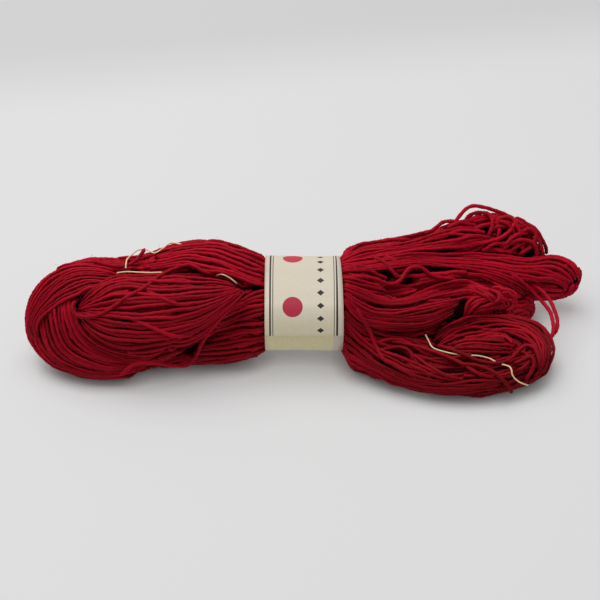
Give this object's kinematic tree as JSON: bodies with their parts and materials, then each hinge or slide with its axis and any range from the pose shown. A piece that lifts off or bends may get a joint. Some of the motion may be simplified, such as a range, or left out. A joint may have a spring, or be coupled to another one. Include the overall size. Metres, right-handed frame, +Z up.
{
  "type": "hank of yarn in a paper band",
  "caption": "Twisted hank of red hand-dyed yarn lying on its side, its loops fanned out at one end, held round its middle by a plain cream paper band and tied with fine gold thread.",
  "frame": {"origin": "on the table, under the middle of the hank's box", "axes": "+X runs along the hank from its twisted end to its open loops, +Y to its back, +Z up"},
  "size_m": [0.3034, 0.115, 0.0635],
  "materials": {
    "yarn": "softly plied silk yarn, crimson, hand dyed a little unevenly",
    "paper": "uncoated cream paper, wrapped round and lapped at the front",
    "tie_thread": "fine gold-coloured thread with a slight sheen"
  },
  "bodies": {
    "root": {"hank": "yarn", "paper_band": "paper", "tie_left": "tie_thread", "tie_knot": "tie_thread", "tie_middle": "tie_thread", "tie_right": "tie_thread", "end_top": "yarn", "end_front": "yarn"}
  },
  "joints": []
}
